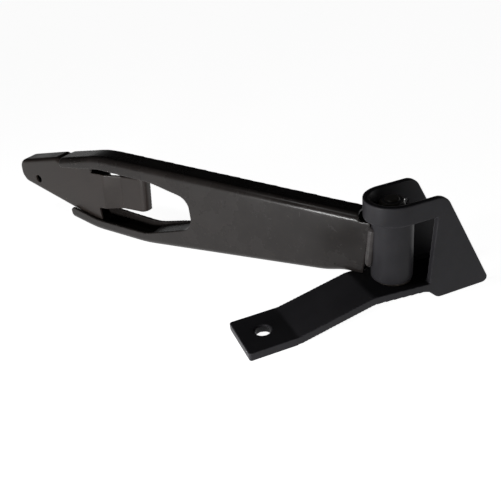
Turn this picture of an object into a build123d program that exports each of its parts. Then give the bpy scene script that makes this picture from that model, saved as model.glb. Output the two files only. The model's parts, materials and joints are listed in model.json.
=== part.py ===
from build123d import *
import os
from math import radians, tan

# Gravity gate latch: a slotted box-section arm that swings on an upright barrel in a bent steel
# bracket. Millimetres. The origin is the centre of the foot's bolt hole on the mounting face,
# +X runs along the strap towards the pivot and +Z points away from the mounting face.

# ---- strap ----
strap_width = 36.0
strap_thickness = 5.5
foot_end = -16.2                # free end of the foot
foot_bend = 16.6                # where the strap leaves the mounting face
strap_rise = 10.6               # climb from the foot to the shelf
shelf_slope = 4.6               # degrees, the shelf falls towards the cheeks
bend_radius = 9.0
bolt_hole_radius = 5.1
pivot_x = 92.7                  # bolt hole to pivot axis
shelf_start = pivot_x - 23.3
strap_end = pivot_x + 54.0

# ---- yoke: collar band and two cheeks, one bent plate ----
plate = 4.0
yoke_half = 18.0
cheek_foot = pivot_x + 16.8
cheek_heel = pivot_x + 12.0     # the cheeks take over the strap's edges from here
cheek_neck = pivot_x + 21.0
cheek_shoulder = pivot_x + 26.6
cheek_tip = pivot_x + 64.6
collar_low = 59.6
collar_high = 72.8

# ---- pivot, heights above the mounting face ----
barrel_low = strap_rise + strap_thickness
barrel_radius = 13.45
barrel_bore = 10.6
barrel_length = 47.5
bush_length = 13.0
sleeve_radius = 6.5
bolt_radius = 4.76
running_fit = 0.06
clamp_low = barrel_low - 0.15
clamp_high = barrel_low + barrel_length + 0.15
washer_radius = 9.6
washer_thickness = 1.2
nut_flats = 14.3
nut_height = 5.4
lock_ring_height = 1.3
bolt_end = clamp_high + washer_thickness + nut_height + 1.0
head_height = 5.6

# ---- arm: reach outwards from the pivot axis, height above the barrel's lower end ----
arm_angle = 53.0                # degrees from the strap, as drawn
wall = 2.6
front_offset = 9.7              # pivot axis to the front face
rear_offset = 5.0               # pivot axis to the rear face, at the pivot
rear_taper = 0.0195             # the box deepens by this much per unit of reach
corner_radius = 5.0
rail_end = 289.0
rear_slot_end = 250.0
arm_far = 312.0
arm_crest = (243.0, 57.9)
arm_ring = [
    (0.0, 43.6),
    arm_crest,
    (arm_far, 47.4),
    (arm_far, 1.7),
    (263.0, -11.0),
    (207.0, -14.4),
    (44.0, -2.9),               # steeper from here inwards, to pass over the strap
    (30.0, 0.3),
    (0.0, 0.3),
]
arm_rounds = {1: 110.0, 4: 85.0, 5: 110.0, 6: 60.0, 7: 40.0}
slot_ring = [
    (arm_far + 5, 15.2),
    (259.0, -1.0),
    (205.0, -4.2),
    (154.8, 8.8),
    (154.8, 34.2),
    (189.0, 43.0),
    (243.0, 47.3),
    (arm_far + 5, 41.3),
]
slot_rounds = {1: 60.0, 2: 40.0, 3: 13.0, 4: 11.0, 5: 40.0, 6: 60.0}
rear_slot_ring = [
    (rear_slot_end, 3.4),
    (203.0, -0.9),
    (154.8, 9.1),
    (154.8, 34.2),
    (189.0, 43.0),
    (243.0, 47.3),
    (rear_slot_end, 46.7),
]
rear_slot_rounds = {0: 4.0, 1: 60.0, 2: 13.0, 3: 11.0, 4: 40.0}
web_end = 199.0
rail_corner = 3.4

# ---- tip piece ----
sheet = 2.4
tip_setback = 3.2               # arm's front face to the tip's front face
tip_root = 256.0
tip_top = (295.5, 50.4)          # the tray's top, clear of the rails
tip_top_slope = -0.156
tip_inner_top = (289.8, 47.8)   # the tray's top where it tucks under the rail
tip_inner_slope = -0.152
tip_bottom = (338.0, 20.6)
tip_bottom_slope = 0.33
nose_reach = 348.0
tip_depth = 16.2
tucked_depth = 13.6             # the tray is shallower inside the arm
back_gap = 0.15
tongue_low = 9.6
tongue_high = 39.4
tongue_root_high = 41.6
tongue_drop = 6.2               # tip's face to the tongue's face
tongue_lean = 9.0               # degrees, the tongue's bends lean from the upright
tongue_step = (245.5, 231.5)
tongue_end = 207.0
lip_depth = 8.4
tip_hole = (325.4, 27.4)
tip_hole_radius = 3.4

CENTRED_UP = (Align.CENTER, Align.CENTER, Align.MIN)


def shelf_z(x):
    """Height of the strap's upper face on the sloping shelf."""
    return barrel_low - tan(radians(shelf_slope)) * (x - shelf_start)


def rounded(ring, rounds):
    """A flat outline in XY with chosen corners rounded."""
    sketch = make_face(Polyline(*ring, close=True))
    for index, radius in rounds.items():
        x, y = ring[index]
        corner = sketch.vertices().sort_by_distance((x, y, 0))[0]
        sketch = fillet(corner, radius)
    return sketch


def upright(sketch, low_y, high_y):
    """Stands an XY outline up in XZ and extrudes it from low_y to high_y."""
    return Pos(0, high_y, 0) * extrude(Plane.XZ * sketch, amount=high_y - low_y)


def arm_outline(ring, rounds):
    """An outline given as (reach, height) in the arm's own frame, where reach runs along -X."""
    return rounded([(-reach, height) for reach, height in ring], rounds)


def arm_place(shape):
    """Moves a shape from the arm's own frame to its place on the bracket."""
    return Pos(pivot_x, 0, barrel_low) * Rot(0, 0, -arm_angle) * shape


def ring_at(x, z, outer, inner, height):
    """An upright ring standing on height z."""
    ring = Cylinder(outer, height, align=CENTRED_UP)
    ring -= Cylinder(inner, height, align=CENTRED_UP)
    return Pos(x, 0, z) * ring


def rod(start, end, radius):
    """A round bar with domed ends."""
    a = Vector(*start)
    b = Vector(*end)
    bar = Plane(a, z_dir=b - a) * Cylinder(radius, (b - a).length, align=CENTRED_UP)
    return bar + Pos(*start) * Sphere(radius) + Pos(*end) * Sphere(radius)


# ---- bracket ----
def strap_profile():
    """Side view of the strap, the same thickness along the foot, the climb and the shelf."""
    t = strap_thickness
    slope = tan(radians(shelf_slope))
    climb = strap_rise / (shelf_start - foot_bend)
    ring = [
        (foot_end, t),
        (foot_bend, t),
        (shelf_start, t + strap_rise),
        (strap_end, shelf_z(strap_end)),
        (strap_end, shelf_z(strap_end) - t),
        (shelf_start + t * (climb - slope) / 2, strap_rise),
        (foot_bend + t * climb / 2, 0.0),
        (foot_end, 0.0),
    ]
    rounds = {1: bend_radius, 6: bend_radius + t, 2: bend_radius + t, 5: bend_radius}
    return rounded(ring, rounds)


def mounting_strap():
    bar = upright(strap_profile(), -strap_width / 2, strap_width / 2)
    inner = yoke_half - plate
    for side in (-1, 1):
        notch = Box(80, plate + 1, 60, align=(Align.MIN, Align.CENTER, Align.CENTER))
        bar -= Pos(cheek_heel, side * (inner + (plate + 1) / 2), 10) * notch
    bar -= Cylinder(bolt_hole_radius, 40)
    bar -= Pos(pivot_x, 0, 10) * Cylinder(bolt_radius + 0.3, 40)
    mouth = [e for e in bar.edges().filter_by(GeomType.CIRCLE) if abs(e.radius - bolt_hole_radius) < 0.01]
    bar = chamfer(ShapeList(mouth).sort_by(Axis.Z)[-1], 0.5)
    corners = bar.edges().filter_by(Axis.Z).group_by(Axis.X)[0]
    return fillet(corners, 1.2)


def cheek_outline():
    ring = [
        (pivot_x, collar_low),
        (cheek_neck, collar_low),
        (cheek_foot, shelf_z(cheek_foot)),
        (cheek_heel, shelf_z(cheek_heel)),
        (cheek_heel, shelf_z(cheek_heel) - strap_thickness),
        (cheek_heel + 4.8, shelf_z(cheek_heel) - strap_thickness - 1.4),
        (cheek_heel + 11.6, 0.0),
        (cheek_tip, 0.0),
        (cheek_shoulder, collar_high),
        (pivot_x, collar_high),
    ]
    return rounded(ring, {1: 1.0, 2: 0.6, 5: 5.0, 6: 6.0, 7: 3.5, 8: 10.5})


def gusset_yoke():
    """One plate bent round the top of the barrel: a collar band and two triangular cheeks."""
    inner = yoke_half - plate
    outline = cheek_outline()
    band_height = collar_high - collar_low
    band = ring_at(pivot_x, collar_low, yoke_half, inner, band_height)
    band -= Pos(pivot_x, 0, collar_low) * Box(60, 60, 60, align=(Align.MIN, Align.CENTER, Align.CENTER))
    yoke = band + upright(outline, -yoke_half, -inner) + upright(outline, inner, yoke_half)
    rim = [e for e in yoke.edges() if abs(e.center().Z - collar_high) < 0.01]
    return chamfer(rim, 0.35)


def thrust_seat():
    """Tapered washer between the sloping shelf and the barrel."""
    ring = ring_at(pivot_x, 0, barrel_radius - 1.2, bolt_radius + 0.1, clamp_low)
    below = rounded([(0, -20), (0, shelf_z(0)), (200, shelf_z(200)), (200, -20)], {})
    return ring - upright(below, -40, 40)


def head_washer():
    """Tapered washer between the underside of the shelf and the bolt's head."""
    low = head_height + 0.5
    ring = ring_at(pivot_x, low, 11.0, bolt_radius + 0.1, 20)
    t = strap_thickness
    above = rounded([(0, 60), (0, shelf_z(0) - t), (200, shelf_z(200) - t), (200, 60)], {})
    return ring - upright(above, -40, 40)


def pivot_bolt():
    """Hexagon-head bolt passed up through the strap, its head under the shelf."""
    shank_start = head_height + 0.5
    head = extrude(RegularPolygon(nut_flats / 2, 6, major_radius=False), head_height)
    crown = Cone(nut_flats / 2 - 0.2, nut_flats / 2 + 4.2, 7.6, align=CENTRED_UP)
    head = Pos(pivot_x, 0, 0.5) * (head & crown)
    shank = Cylinder(bolt_radius, bolt_end - shank_start, align=CENTRED_UP)
    shank = chamfer(shank.edges().sort_by(Axis.Z)[-1], 0.7)
    return head + Pos(pivot_x, 0, shank_start) * shank


def spacer_sleeve():
    """Tube clamped on the bolt between the seat and the top washer, the barrel's journal."""
    return ring_at(pivot_x, clamp_low, sleeve_radius, bolt_radius + 0.06, clamp_high - clamp_low)


def top_washer():
    washer = ring_at(pivot_x, clamp_high, washer_radius, bolt_radius + 0.06, washer_thickness)
    return chamfer(washer.edges().filter_by(GeomType.CIRCLE).sort_by(Axis.Z)[-1], 0.2)


def pivot_nut():
    """Hexagon nut with a crowned top, recessed for its locking ring."""
    hexagon = extrude(RegularPolygon(nut_flats / 2, 6, major_radius=False), nut_height)
    crown = Cone(nut_flats / 2 + 5.2, nut_flats / 2 - 0.2, 9.0, align=(Align.CENTER, Align.CENTER, Align.MAX))
    nut = hexagon & (Pos(0, 0, nut_height) * crown)
    nut -= Cylinder(bolt_radius + 0.03, 40)
    nut -= Pos(0, 0, nut_height - lock_ring_height) * Cylinder(bolt_radius + 1.4, 5, align=CENTRED_UP)
    return Pos(pivot_x, 0, clamp_high + washer_thickness) * Rot(0, 0, 12) * nut


def nut_lock_ring():
    z = clamp_high + washer_thickness + nut_height - lock_ring_height
    return ring_at(pivot_x, z, bolt_radius + 1.4, bolt_radius + 0.02, lock_ring_height - 0.1)


def cheek_welds():
    """Fillet welds between the strap and the inner faces of the cheeks."""
    inner = yoke_half - plate
    solids = mounting_strap() + gusset_yoke()
    beads = []
    for side in (-1, 1):
        for lift, radius in ((0.0, 2.2), (-strap_thickness, 2.4)):
            start = cheek_foot + 2.4
            end = strap_end - 5.0
            bead = rod((start, side * inner, shelf_z(start) + lift), (end, side * inner, shelf_z(end) + lift), radius)
            beads += (bead - solids).solids()
    return Compound(beads)


# ---- arm ----
def arm_block(inset):
    """The arm as a solid, its long front edges rounded and every face moved in by inset."""
    sketch = arm_outline(arm_ring, arm_rounds)
    if inset:
        sketch = offset(sketch, amount=-inset, kind=Kind.INTERSECTION)
    front = -front_offset + inset
    block = upright(sketch, front, 20)
    long_edges = [e for e in block.edges() if abs(e.center().Y - front) < 0.001 and abs((e @ 0).X - (e @ 1).X) > 1]
    return fillet(long_edges, corner_radius - inset)


def rear_slab(low, high):
    """The layer between two planes parallel to the arm's rear face."""
    def rear(reach):
        return rear_offset + rear_taper * reach
    ring = [(20, rear(-20) + low), (-380, rear(380) + low), (-380, rear(380) + high), (20, rear(-20) + high)]
    return Pos(0, 0, -60) * extrude(make_face(Polyline(*ring, close=True)), 160)


def pivot_end_cut():
    """Clears the barrel, the weld gap beside it and the collar above."""
    end = arm_outline([(-60, -60), (16.9, -60), (16.4, 1.0), (10.4, 37.6), (10.4, 90), (-60, 90)], {})
    cut = upright(end, -40, 60)
    cut += Pos(0, 0, -60) * Cylinder(barrel_radius + 0.02, 200, align=CENTRED_UP)
    notch = Cylinder(yoke_half + 2.2, 60, align=CENTRED_UP)
    return cut + Pos(0, 0, 40.4) * notch


def reach_limit(reach):
    """Everything farther out than the given reach."""
    return Pos(-reach, 0, 0) * Box(400, 200, 300, align=(Align.MAX, Align.CENTER, Align.CENTER))


def arm_channel():
    """Front wall with top and bottom flanges, slotted and open at the far end."""
    slot = upright(arm_outline(slot_ring, slot_rounds), -40, 60)
    channel = arm_block(0) - rear_slab(0, 60) - arm_block(wall)
    channel = channel - pivot_end_cut() - slot - reach_limit(rail_end)
    ends = [e for e in channel.edges().filter_by(Axis.Y) if abs(e.center().X + rail_end) < 0.01]
    ends = [e for e in ends if 2 < e.center().Z < 45 and abs(e.length - wall) < 0.05]
    return fillet(ends, rail_corner)


def arm_rear_plate():
    """Rear wall set between the flanges, with its own shorter slot."""
    slot = upright(arm_outline(rear_slot_ring, rear_slot_rounds), -40, 60)
    plate_solid = arm_block(wall) & rear_slab(-wall, 0)
    return plate_solid - pivot_end_cut() - slot - reach_limit(rail_end)


def slot_web():
    """Strip bent round the slot's closed end, joining the front wall to the rear wall."""
    outline = arm_outline(slot_ring, slot_rounds)
    strip = upright(offset(outline, amount=wall) - outline, -front_offset + wall, 60)
    return strip - rear_slab(-wall - 0.02, 90) - reach_limit(web_end)


def pivot_barrel():
    barrel = ring_at(0, 0, barrel_radius, barrel_bore, barrel_length)
    return chamfer(barrel.edges().filter_by(GeomType.CIRCLE), 0.5)


def barrel_bush(z):
    return ring_at(0, z, barrel_bore, sleeve_radius + running_fit, bush_length)


def barrel_welds(shell):
    """Fillet welds from the arm's front and rear walls to the barrel."""
    barrel = Cylinder(barrel_radius, 200)
    beads = []
    front = rod((-9.2, -9.6, 37.4), (-12.2, -9.0, 8.4), 2.9) - barrel - shell
    beads += front.solids()
    rear = rod((-13.6, 4.4, 36.0), (-14.4, 4.4, 5.0), 2.7) - barrel - shell
    beads += rear.solids()
    beads = [bead for bead in beads if bead.volume > 20]
    return Compound(beads)


def edge_height(points, reach):
    """Height of a chain of (reach, height) points at one reach."""
    for (near, low), (far, high) in zip(points, points[1:]):
        if near <= reach <= far:
            return low + (high - low) * (reach - near) / (far - near)


def seam_stitches(shell):
    """Short welds closing the seams between the rear wall and the flanges."""
    beads = []
    for start in (52.0, 108.0, 164.0, 214.0):
        for chain, shift in ((arm_ring[:3], -wall), (arm_ring[:2:-1], wall)):
            ends = []
            for reach in (start, start + 20.0):
                height = edge_height(chain, reach) + shift
                ends.append((-reach, rear_offset + rear_taper * reach + 0.2, height))
            bead = rod(ends[0], ends[1], 1.5) - shell
            beads += [solid for solid in bead.solids() if solid.volume > 10]
    return Compound(beads)


# ---- tip piece ----
def tray_outline(root):
    """The tip's tray in the arm's frame, from its open root to the round nose."""
    def top(reach):
        return tip_top[1] + tip_top_slope * (reach - tip_top[0])

    def tucked(reach):
        return tip_inner_top[1] + tip_inner_slope * (reach - tip_inner_top[0])

    def bottom(reach):
        return tip_bottom[1] + tip_bottom_slope * (reach - tip_bottom[0])
    ring = [
        (root, tucked(root)),
        tip_inner_top,
        tip_top,
        (nose_reach - 2.0, top(nose_reach - 2.0)),
        (nose_reach, 29.0),
        (nose_reach - 4.0, bottom(nose_reach - 4.0)),
        (root, bottom(root)),
    ]
    return arm_outline(ring, {1: 4.0, 2: 6.0, 3: 9.0, 4: 9.0, 5: 6.0})


def tray_inside():
    """The hollow of the tray, seen from the side."""
    return offset(tray_outline(tip_root - 20), amount=-sheet, kind=Kind.INTERSECTION)


def tray():
    """Shallow pan with a rounded front rim, open at the root and shallower inside the arm."""
    front = -front_offset + tip_setback
    pan = upright(tray_outline(tip_root), front, front + tip_depth)
    rim = [e for e in pan.edges() if abs(e.center().Y - front) < 0.001 and abs(e.center().X + tip_root) > 1]
    pan = fillet(rim, 3.4)
    pan -= upright(tray_inside(), front + sheet, 60)
    hole = Pos(-tip_hole[0], 0, tip_hole[1]) * Rot(90, 0, 0) * Cylinder(tip_hole_radius, 20)
    inside_arm = Pos(-rail_end - 0.5, front + tucked_depth, 0) * Box(60, 60, 200, align=(Align.MIN, Align.MIN, Align.CENTER))
    return pan - hole - inside_arm


def tongue_face():
    """Side outline that trims the tongue, its root a little taller than its end."""
    ring = [
        (tip_root + 4.0, tongue_low),
        (tongue_end - 20.0, tongue_low),
        (tongue_end - 20.0, tongue_high),
        (tongue_step[1] - 3.0, tongue_high),
        (tongue_step[0], tongue_root_high),
        (tip_root + 4.0, tongue_root_high),
    ]
    return arm_outline(ring, {3: 8.0, 4: 8.0})


def tongue():
    """Tongue joggled back from the tray's face, ending in a lip turned away from it."""
    y0 = -front_offset + tip_setback + sheet / 2
    y1 = y0 + tongue_drop
    middle = (tongue_low + tongue_high) / 2
    lip_x = -(tongue_end + sheet / 2)
    path = FilletPolyline(
        (-(tip_root + 14.0), y0), (-tongue_step[0], y0), (-tongue_step[1], y1), (lip_x, y1),
        (lip_x, y1 + lip_depth - sheet / 2), radius=4.2)
    strip = Pos(0, 0, -40) * extrude(trace(path, line_width=sheet), 80)
    strip = Pos(-tongue_step[1], 0, middle) * Rot(0, tongue_lean, 0) * Pos(tongue_step[1], 0, 0) * strip
    return strip & upright(tongue_face(), -30, 30)


def tip_piece():
    return tray() + tongue()


def tip_back_plate():
    """Plate closing the tray's back beyond the rails."""
    back = -front_offset + tip_setback + tip_depth
    outline = offset(tray_outline(tip_root), amount=-sheet - back_gap, kind=Kind.INTERSECTION)
    inner_part = Pos(-rail_end - 2.4, 0, 0) * Box(60, 60, 200, align=(Align.MIN, Align.CENTER, Align.CENTER))
    return upright(outline, back - sheet, back) - inner_part


def tip_welds(shell, tip):
    """Stitches from the arm's ends to the tip piece and its back plate."""
    beads = []
    y = rear_offset + rear_taper * rail_end - 0.6
    reach = -rail_end - 1.6
    lines = [((reach, y, low), (reach, y, low + 9.0), 2.4) for low in (11.0, 32.0)]
    lines.append(((-rail_end - 0.7, -3.6, 48.6), (-rail_end - 0.7, 8.4, 48.6), 1.9))
    for start, end, radius in lines:
        bead = rod(start, end, radius) - shell - tip
        beads += [solid for solid in bead.solids() if solid.volume > 10]
    return Compound(beads)


def save(name, shape):
    export_step(shape, f"parts/{name}.step")


os.makedirs("parts", exist_ok=True)
save("mounting_strap", mounting_strap())
save("gusset_yoke", gusset_yoke())
save("cheek_welds", cheek_welds())
save("thrust_seat", thrust_seat())
save("head_washer", head_washer())
save("pivot_bolt", pivot_bolt())
save("spacer_sleeve", spacer_sleeve())
save("top_washer", top_washer())
save("pivot_nut", pivot_nut())
save("nut_lock_ring", nut_lock_ring())

channel = arm_channel()
rear_plate = arm_rear_plate()
tip = tip_piece()
tip_back = tip_back_plate()
shell = channel + rear_plate
save("arm_channel", arm_place(channel))
save("arm_rear_plate", arm_place(rear_plate))
save("slot_web", arm_place(slot_web()))
save("pivot_barrel", arm_place(pivot_barrel()))
save("lower_bush", arm_place(barrel_bush(0.0)))
save("upper_bush", arm_place(barrel_bush(barrel_length - bush_length)))
save("barrel_welds", arm_place(barrel_welds(shell)))
save("seam_stitches", arm_place(seam_stitches(shell)))
save("tip_piece", arm_place(tip))
save("tip_back_plate", arm_place(tip_back))
save("tip_welds", arm_place(tip_welds(shell, tip + tip_back)))
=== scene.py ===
import json
import math

import bmesh
import bpy
from mathutils import Matrix, Vector


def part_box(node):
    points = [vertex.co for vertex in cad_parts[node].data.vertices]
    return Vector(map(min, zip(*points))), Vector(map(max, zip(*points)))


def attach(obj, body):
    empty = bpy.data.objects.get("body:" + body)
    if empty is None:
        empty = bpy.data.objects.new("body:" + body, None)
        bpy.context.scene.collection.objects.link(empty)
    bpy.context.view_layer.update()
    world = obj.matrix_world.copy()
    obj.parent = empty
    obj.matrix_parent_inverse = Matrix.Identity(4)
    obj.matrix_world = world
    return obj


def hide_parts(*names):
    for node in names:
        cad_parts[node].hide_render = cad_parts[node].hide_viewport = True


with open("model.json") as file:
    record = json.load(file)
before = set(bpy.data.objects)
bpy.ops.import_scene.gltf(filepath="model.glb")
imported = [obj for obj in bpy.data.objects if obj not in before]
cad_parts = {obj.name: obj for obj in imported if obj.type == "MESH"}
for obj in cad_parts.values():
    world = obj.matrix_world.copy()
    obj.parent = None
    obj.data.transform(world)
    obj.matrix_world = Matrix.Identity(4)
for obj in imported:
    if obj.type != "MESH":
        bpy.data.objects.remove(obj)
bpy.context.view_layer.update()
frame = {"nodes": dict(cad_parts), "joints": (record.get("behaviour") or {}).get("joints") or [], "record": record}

NODES = frame["nodes"]
MM = 0.001

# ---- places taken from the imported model, in millimetres ----
PIVOT = Vector(frame["joints"][0]["pos_m"]) / MM
ARM_ANGLE = math.radians(53.0)
BARREL_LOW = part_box("pivot_barrel")[0].z / MM
ARM_PLACE = Matrix.Translation((PIVOT.x, 0, BARREL_LOW)) @ Matrix.Rotation(-ARM_ANGLE, 4, "Z")


# ---- node helpers ----
def new_material(name):
    mat = bpy.data.materials.new(name)
    mat.use_nodes = True
    tree = mat.node_tree
    tree.nodes.clear()
    out = tree.nodes.new("ShaderNodeOutputMaterial")
    shader = tree.nodes.new("ShaderNodeBsdfPrincipled")
    tree.links.new(shader.outputs[0], out.inputs[0])
    return mat, tree, shader


def noise(tree, scale, detail=3.0, rough=0.5, stretch=(1, 1, 1), distortion=0.0):
    """Object-space noise, optionally stretched along an axis."""
    coords = tree.nodes.new("ShaderNodeTexCoord")
    mapping = tree.nodes.new("ShaderNodeMapping")
    mapping.inputs["Scale"].default_value = stretch
    tree.links.new(coords.outputs["Object"], mapping.inputs["Vector"])
    tex = tree.nodes.new("ShaderNodeTexNoise")
    tex.inputs["Scale"].default_value = scale
    tex.inputs["Detail"].default_value = detail
    tex.inputs["Roughness"].default_value = rough
    tex.inputs["Distortion"].default_value = distortion
    tree.links.new(mapping.outputs["Vector"], tex.inputs["Vector"])
    return tex.outputs["Fac"]


def ramp(tree, value, low, high, out_low=0.0, out_high=1.0):
    node = tree.nodes.new("ShaderNodeMapRange")
    node.inputs["From Min"].default_value = low
    node.inputs["From Max"].default_value = high
    node.inputs["To Min"].default_value = out_low
    node.inputs["To Max"].default_value = out_high
    tree.links.new(value, node.inputs["Value"])
    return node.outputs["Result"]


def mix_colour(tree, factor, a, b):
    node = tree.nodes.new("ShaderNodeMix")
    node.data_type = "RGBA"
    tree.links.new(factor, node.inputs["Factor"])
    for socket, value in ((node.inputs["A"], a), (node.inputs["B"], b)):
        if isinstance(value, tuple):
            socket.default_value = (*value, 1.0)
        else:
            tree.links.new(value, socket)
    return node.outputs["Result"]


def math_node(tree, operation, a, b):
    node = tree.nodes.new("ShaderNodeMath")
    node.operation = operation
    node.use_clamp = operation in ("ADD", "MULTIPLY")
    for socket, value in zip(node.inputs, (a, b)):
        if isinstance(value, (int, float)):
            socket.default_value = value
        else:
            tree.links.new(value, socket)
    return node.outputs[0]


def bump(tree, shader, layers):
    """Chains bump layers given as (height, strength, distance in mm)."""
    previous = None
    for height, strength, distance in layers:
        node = tree.nodes.new("ShaderNodeBump")
        node.inputs["Strength"].default_value = strength
        node.inputs["Distance"].default_value = distance * MM
        tree.links.new(height, node.inputs["Height"])
        if previous is not None:
            tree.links.new(previous, node.inputs["Normal"])
        previous = node.outputs["Normal"]
    tree.links.new(previous, shader.inputs["Normal"])


def edge_mask(tree, low, high):
    """1 on convex edges, 0 on flats, from the mesh's own curvature."""
    geometry = tree.nodes.new("ShaderNodeNewGeometry")
    return ramp(tree, geometry.outputs["Pointiness"], low, high)


def paint(name, base, worn, rough=0.36, specular=0.4, peel=0.25, wear=0.5, grime=(0.03, 0.024, 0.018)):
    """Satin black paint: cloudy tone, orange peel, edges rubbed to the worn colour, faint scuffs."""
    mat, tree, shader = new_material(name)
    cloud = ramp(tree, noise(tree, 38.0, 4.0, 0.55), 0.35, 0.7)
    speck = ramp(tree, noise(tree, 520.0, 2.0, 0.6), 0.58, 0.72)
    scuff = ramp(tree, noise(tree, 150.0, 5.0, 0.7, (1.0, 0.25, 0.6), 0.6), 0.6, 0.78)
    tone = mix_colour(tree, cloud, base, tuple(c * 1.35 for c in base))
    tone = mix_colour(tree, math_node(tree, "MULTIPLY", speck, 0.35), tone, grime)
    broken = ramp(tree, noise(tree, 260.0, 4.0, 0.65), 0.42, 0.62)
    edges = math_node(tree, "MULTIPLY", edge_mask(tree, 0.505, 0.56), broken)
    edges = math_node(tree, "MULTIPLY", edges, wear)
    tone = mix_colour(tree, edges, tone, worn)
    tree.links.new(tone, shader.inputs["Base Color"])
    gloss = ramp(tree, cloud, 0.0, 1.0, rough - 0.05, rough + 0.06)
    gloss = math_node(tree, "ADD", gloss, math_node(tree, "MULTIPLY", scuff, 0.12))
    tree.links.new(gloss, shader.inputs["Roughness"])
    shader.inputs["Specular IOR Level"].default_value = specular
    shader.inputs["Coat Weight"].default_value = 0.0
    bump(tree, shader, [
        (noise(tree, 420.0, 2.0, 0.5), peel, 0.05),
        (noise(tree, 60.0, 2.0, 0.5), 0.25, 0.12),
        (scuff, 0.12, 0.03),
    ])
    return mat


def metal(name, base, rough=0.35, dark=(0.02, 0.018, 0.015), metallic=1.0, spread=0.4):
    """Bare or plated metal with oily streaks and fine turning marks."""
    mat, tree, shader = new_material(name)
    streak = ramp(tree, noise(tree, 90.0, 4.0, 0.6, (1.0, 1.0, 0.2)), 0.4, 0.7)
    tone = mix_colour(tree, math_node(tree, "MULTIPLY", streak, spread), base, dark)
    tree.links.new(tone, shader.inputs["Base Color"])
    tree.links.new(ramp(tree, streak, 0.0, 1.0, rough, rough + 0.2), shader.inputs["Roughness"])
    shader.inputs["Metallic"].default_value = metallic
    bump(tree, shader, [(noise(tree, 700.0, 2.0, 0.5, (0.3, 0.3, 1.0)), 0.2, 0.03)])
    return mat


def plastic(name, base, rough=0.5):
    mat, tree, shader = new_material(name)
    cloud = noise(tree, 120.0, 3.0, 0.5)
    tree.links.new(mix_colour(tree, cloud, base, tuple(c * 1.4 for c in base)), shader.inputs["Base Color"])
    tree.links.new(ramp(tree, cloud, 0.0, 1.0, rough - 0.06, rough + 0.06), shader.inputs["Roughness"])
    bump(tree, shader, [(noise(tree, 900.0, 2.0, 0.5), 0.2, 0.02)])
    return mat


MATERIALS = {
    "bracket_paint": paint(
        "bracket_paint", (0.0215, 0.0210, 0.0235), (0.060, 0.058, 0.064), rough=0.42, specular=0.09),
    "arm_paint": paint(
        "arm_paint", (0.0130, 0.0112, 0.0106), (0.050, 0.043, 0.040), rough=0.28, specular=0.24),
    "tip_paint": paint(
        "tip_paint", (0.0165, 0.0128, 0.0112), (0.065, 0.054, 0.048), rough=0.36, specular=0.28),
    "weld_paint": paint(
        "weld_paint", (0.030, 0.027, 0.027), (0.10, 0.09, 0.085),
        rough=0.34, specular=0.3, peel=0.12, wear=0.6),
    "fastener_black": paint(
        "fastener_black", (0.035, 0.032, 0.028), (0.12, 0.105, 0.09),
        rough=0.32, specular=0.35, peel=0.15, wear=0.9),
    "bare_steel": metal("bare_steel", (0.45, 0.44, 0.42)),
    "bronze": metal("bronze", (0.10, 0.065, 0.03)),
    "nylon": plastic("nylon", (0.03, 0.03, 0.034)),
}


# ---- mesh helpers ----
def link(name, mesh, material):
    obj = bpy.data.objects.new(name, mesh)
    bpy.context.scene.collection.objects.link(obj)
    mesh.materials.clear()
    mesh.materials.append(MATERIALS[material])
    for polygon in mesh.polygons:
        polygon.use_smooth = True
    return obj


def own(obj, body, slot, *nodes):
    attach(obj, body)
    if nodes:
        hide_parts(*nodes)
    return obj


def evaluated(mesh, settings):
    """The mesh after a stack of modifiers, given as (kind, {setting: value})."""
    obj = bpy.data.objects.new("work", mesh)
    bpy.context.scene.collection.objects.link(obj)
    for kind, values in settings:
        modifier = obj.modifiers.new(kind, kind)
        for key, value in values.items():
            setattr(modifier, key, value)
    graph = bpy.context.evaluated_depsgraph_get()
    result = bpy.data.meshes.new_from_object(obj.evaluated_get(graph))
    bpy.data.objects.remove(obj)
    return result


def soften(nodes, name, body, slot, voxel, rounds=6, keep=0.35, place=None):
    """Rebuilds CAD solids as one welded and painted piece: edges rounded over, joints blended."""
    work = bmesh.new()
    for node in nodes:
        work.from_mesh(NODES[node].data)
    bmesh.ops.remove_doubles(work, verts=work.verts, dist=0.002 * MM)
    mesh = bpy.data.meshes.new(name)
    work.to_mesh(mesh)
    work.free()
    if place is not None:
        mesh.transform(mm_matrix(place).inverted())
    mesh = evaluated(mesh, [
        ("REMESH", {"mode": "VOXEL", "voxel_size": voxel * MM, "use_smooth_shade": True}),
        ("SMOOTH", {"factor": 0.5, "iterations": rounds}),
        ("DECIMATE", {"ratio": keep}),
    ])
    if place is not None:
        mesh.transform(mm_matrix(place))
    return own(link(name, mesh, slot), body, slot, *nodes)


def mm_matrix(matrix):
    """A placement written in millimetres, for meshes in metres."""
    scaled = matrix.copy()
    scaled.translation = matrix.translation * MM
    return scaled


RING_STEP = 0.22        # along a bead, in millimetres
BEAD_SIDES = 20
RIPPLE_LAG = 0.35       # how far a ripple's crest bows along the bead


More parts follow.
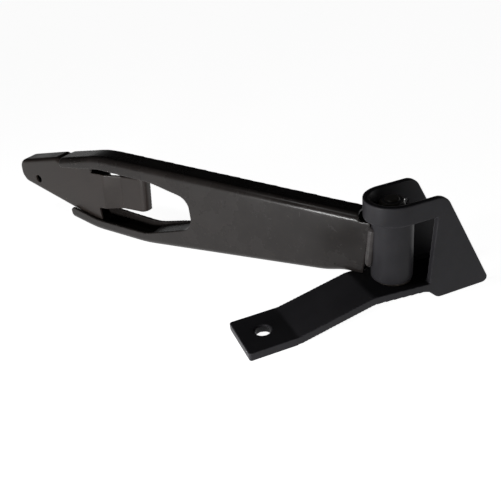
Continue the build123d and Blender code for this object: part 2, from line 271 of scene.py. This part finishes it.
def bead(work, start, end, radius, pitch=1.7, seed=0.0):
    """Weld bead with shallow ripples between two points, in millimetres."""
    a, b = Vector(start), Vector(end)
    run = b - a
    length = run.length
    turn = run.to_track_quat("Z", "Y").to_matrix().to_4x4()
    rings = max(12, int(length / RING_STEP))
    previous = None
    for i in range(rings + 1):
        t = i / rings
        along = t * length
        cap = min(1.0, min(along, length - along) / (radius * 1.1))
        taper = math.sqrt(max(0.0, 1.0 - (1.0 - cap) ** 2))
        phase = along / pitch + 0.18 * math.sin(along * 0.9 + seed)
        ripple = abs((phase % 1.0) - 0.5) * 2.0
        size = radius * (0.94 + 0.06 * math.sqrt(1.0 - ripple * ripple * 0.96)) * max(taper, 0.02)
        size *= 1.0 + 0.04 * math.sin(along * 0.37 + seed * 2.0)
        ring = []
        for k in range(BEAD_SIDES):
            angle = 2 * math.pi * k / BEAD_SIDES
            lag = RIPPLE_LAG * math.cos(angle)
            point = Vector((size * math.cos(angle), size * math.sin(angle), along + lag))
            ring.append(work.verts.new((a + (turn @ point)) * MM))
        if previous:
            for k in range(BEAD_SIDES):
                after = (k + 1) % BEAD_SIDES
                work.faces.new((previous[k], previous[after], ring[after], ring[k]))
        else:
            work.faces.new(list(reversed(ring)))
        previous = ring
    work.faces.new(previous)


def bead_piece(name, runs, body, slot, node, place):
    """One piece of several beads, given as (start, end, radius) in the placed frame."""
    work = bmesh.new()
    for index, (start, end, radius) in enumerate(runs):
        bead(work, start, end, radius, seed=1.3 * index)
    bmesh.ops.recalc_face_normals(work, faces=work.faces)
    mesh = bpy.data.meshes.new(name)
    work.to_mesh(mesh)
    work.free()
    mesh.transform(mm_matrix(place))
    return own(link(name, mesh, slot), body, slot, node)


# ---- bracket ----
soften(("mounting_strap", "gusset_yoke", "cheek_welds"), "bracket_body", "bracket", "bracket_paint", 0.5, 5)
soften(("top_washer",), "washer_body", "bracket", "fastener_black", 0.25, 2, 0.5)
soften(("pivot_nut",), "nut_body", "bracket", "fastener_black", 0.2, 2, 0.5)
soften(("pivot_bolt",), "bolt_body", "bracket", "fastener_black", 0.3, 2, 0.5)

# ---- arm ----
soften(("arm_channel", "arm_rear_plate", "slot_web", "seam_stitches"), "arm_body", "arm", "arm_paint",
       0.6, 5, 0.35, ARM_PLACE)
soften(("tip_piece", "tip_back_plate", "tip_welds"), "tip_body", "arm", "tip_paint", 0.5, 5, 0.45, ARM_PLACE)
soften(("pivot_barrel",), "barrel_tube", "arm", "bracket_paint", 0.4, 4, 0.4, ARM_PLACE)

bead_piece("barrel_weld_beads", [
    ((-9.0, -9.3, 38.2), (-12.2, -8.9, 9.0), 2.75),
    ((-13.4, 4.4, 36.0), (-14.2, 4.4, 5.0), 2.6),
], "arm", "weld_paint", "barrel_welds", ARM_PLACE)

# ---- materials for the CAD nodes that stay as they are ----
SLOTS = {row["node"]: row["material_slot"] for row in frame["record"]["subparts"]}
for node, obj in NODES.items():
    obj.data.materials.clear()
    obj.data.materials.append(MATERIALS[SLOTS[node]])
    for polygon in obj.data.polygons:
        polygon.material_index = 0



# ---- floor, light, camera ----
FLOOR_Z = -0.4          # just under the mounting face, in millimetres
FLOOR_HALF = 12.0       # half the floor's side, in metres
SKY = ((0.08, 0.35), (0.16, 0.06), (0.26, 0.008), (0.6, 0.004))     # sine of elevation, brightness
HORIZON, ZENITH = 0.6, 0.004


def white_floor():
    h = FLOOR_HALF
    mesh = bpy.data.meshes.new("floor")
    mesh.from_pydata([(-h, -h, 0), (h, -h, 0), (h, h, 0), (-h, h, 0)], [], [(0, 1, 2, 3)])
    obj = bpy.data.objects.new("floor", mesh)
    obj.location.z = FLOOR_Z * MM
    bpy.context.scene.collection.objects.link(obj)
    mat, _, shader = new_material("floor_white")
    shader.inputs["Base Color"].default_value = (0.86, 0.86, 0.86, 1.0)
    shader.inputs["Roughness"].default_value = 0.9
    shader.inputs["Emission Color"].default_value = (1.0, 1.0, 1.0, 1.0)
    shader.inputs["Emission Strength"].default_value = 0.95
    mesh.materials.append(mat)
    return obj


def studio_world():
    """Pale at the horizon and nearly black overhead."""
    world = bpy.data.worlds.new("studio")
    bpy.context.scene.world = world
    world.use_nodes = True
    tree = world.node_tree
    tree.nodes.clear()
    out = tree.nodes.new("ShaderNodeOutputWorld")
    background = tree.nodes.new("ShaderNodeBackground")
    coords = tree.nodes.new("ShaderNodeTexCoord")
    split = tree.nodes.new("ShaderNodeSeparateXYZ")
    gradient = tree.nodes.new("ShaderNodeValToRGB")
    tree.links.new(coords.outputs["Generated"], split.inputs[0])
    tree.links.new(split.outputs["Z"], gradient.inputs[0])
    tree.links.new(gradient.outputs[0], background.inputs[0])
    tree.links.new(background.outputs[0], out.inputs[0])
    stops = gradient.color_ramp.elements
    stops[0].position = 0.0
    stops[0].color = (HORIZON, HORIZON, HORIZON, 1)
    stops[1].position = 1.0
    stops[1].color = (ZENITH, ZENITH, ZENITH, 1)
    for position, level in SKY:
        stops.new(position).color = (level, level, level, 1)


def area_light(name, location, target, size, watts):
    """Round soft light, its place and size in millimetres."""
    data = bpy.data.lights.new(name, "AREA")
    data.shape = "DISK"
    data.size = size * MM
    data.energy = watts
    obj = bpy.data.objects.new(name, data)
    obj.location = Vector(location) * MM
    obj.rotation_mode = "QUATERNION"
    obj.rotation_quaternion = (Vector(target) - Vector(location)).to_track_quat("-Z", "Y")
    bpy.context.scene.collection.objects.link(obj)


CAM_AT = Vector((-93.4, -289.1, 236.6))
YAW, PITCH, ROLL = (math.radians(a) for a in (17.65, 29.72, 7.24))


def place_camera():
    """Camera given by its yaw from +Y, its pitch below level and its roll."""
    forward = Vector((math.sin(YAW) * math.cos(PITCH), math.cos(YAW) * math.cos(PITCH), -math.sin(PITCH)))
    right = forward.cross(Vector((0, 0, 1))).normalized()
    down = forward.cross(right)
    cam_x = right * math.cos(ROLL) + down * math.sin(ROLL)
    cam_y = right * math.sin(ROLL) - down * math.cos(ROLL)
    data = bpy.data.cameras.new("camera")
    data.sensor_width = 36.0
    data.lens = 43.667
    data.clip_start = 0.01
    data.clip_end = 50.0
    obj = bpy.data.objects.new("camera", data)
    obj.matrix_world = Matrix((
        (cam_x.x, cam_y.x, -forward.x, CAM_AT.x * MM),
        (cam_x.y, cam_y.y, -forward.y, CAM_AT.y * MM),
        (cam_x.z, cam_y.z, -forward.z, CAM_AT.z * MM),
        (0, 0, 0, 1),
    ))
    bpy.context.scene.collection.objects.link(obj)
    bpy.context.scene.camera = obj


white_floor()
studio_world()
area_light("key_left", (-300, 30, 560), (70, 20, 60), 60, 0.26)
area_light("face_fill", (-240, -60, 26), (0, 120, 35), 48, 0.85)
place_camera()
bpy.context.scene.view_settings.view_transform = "Standard"
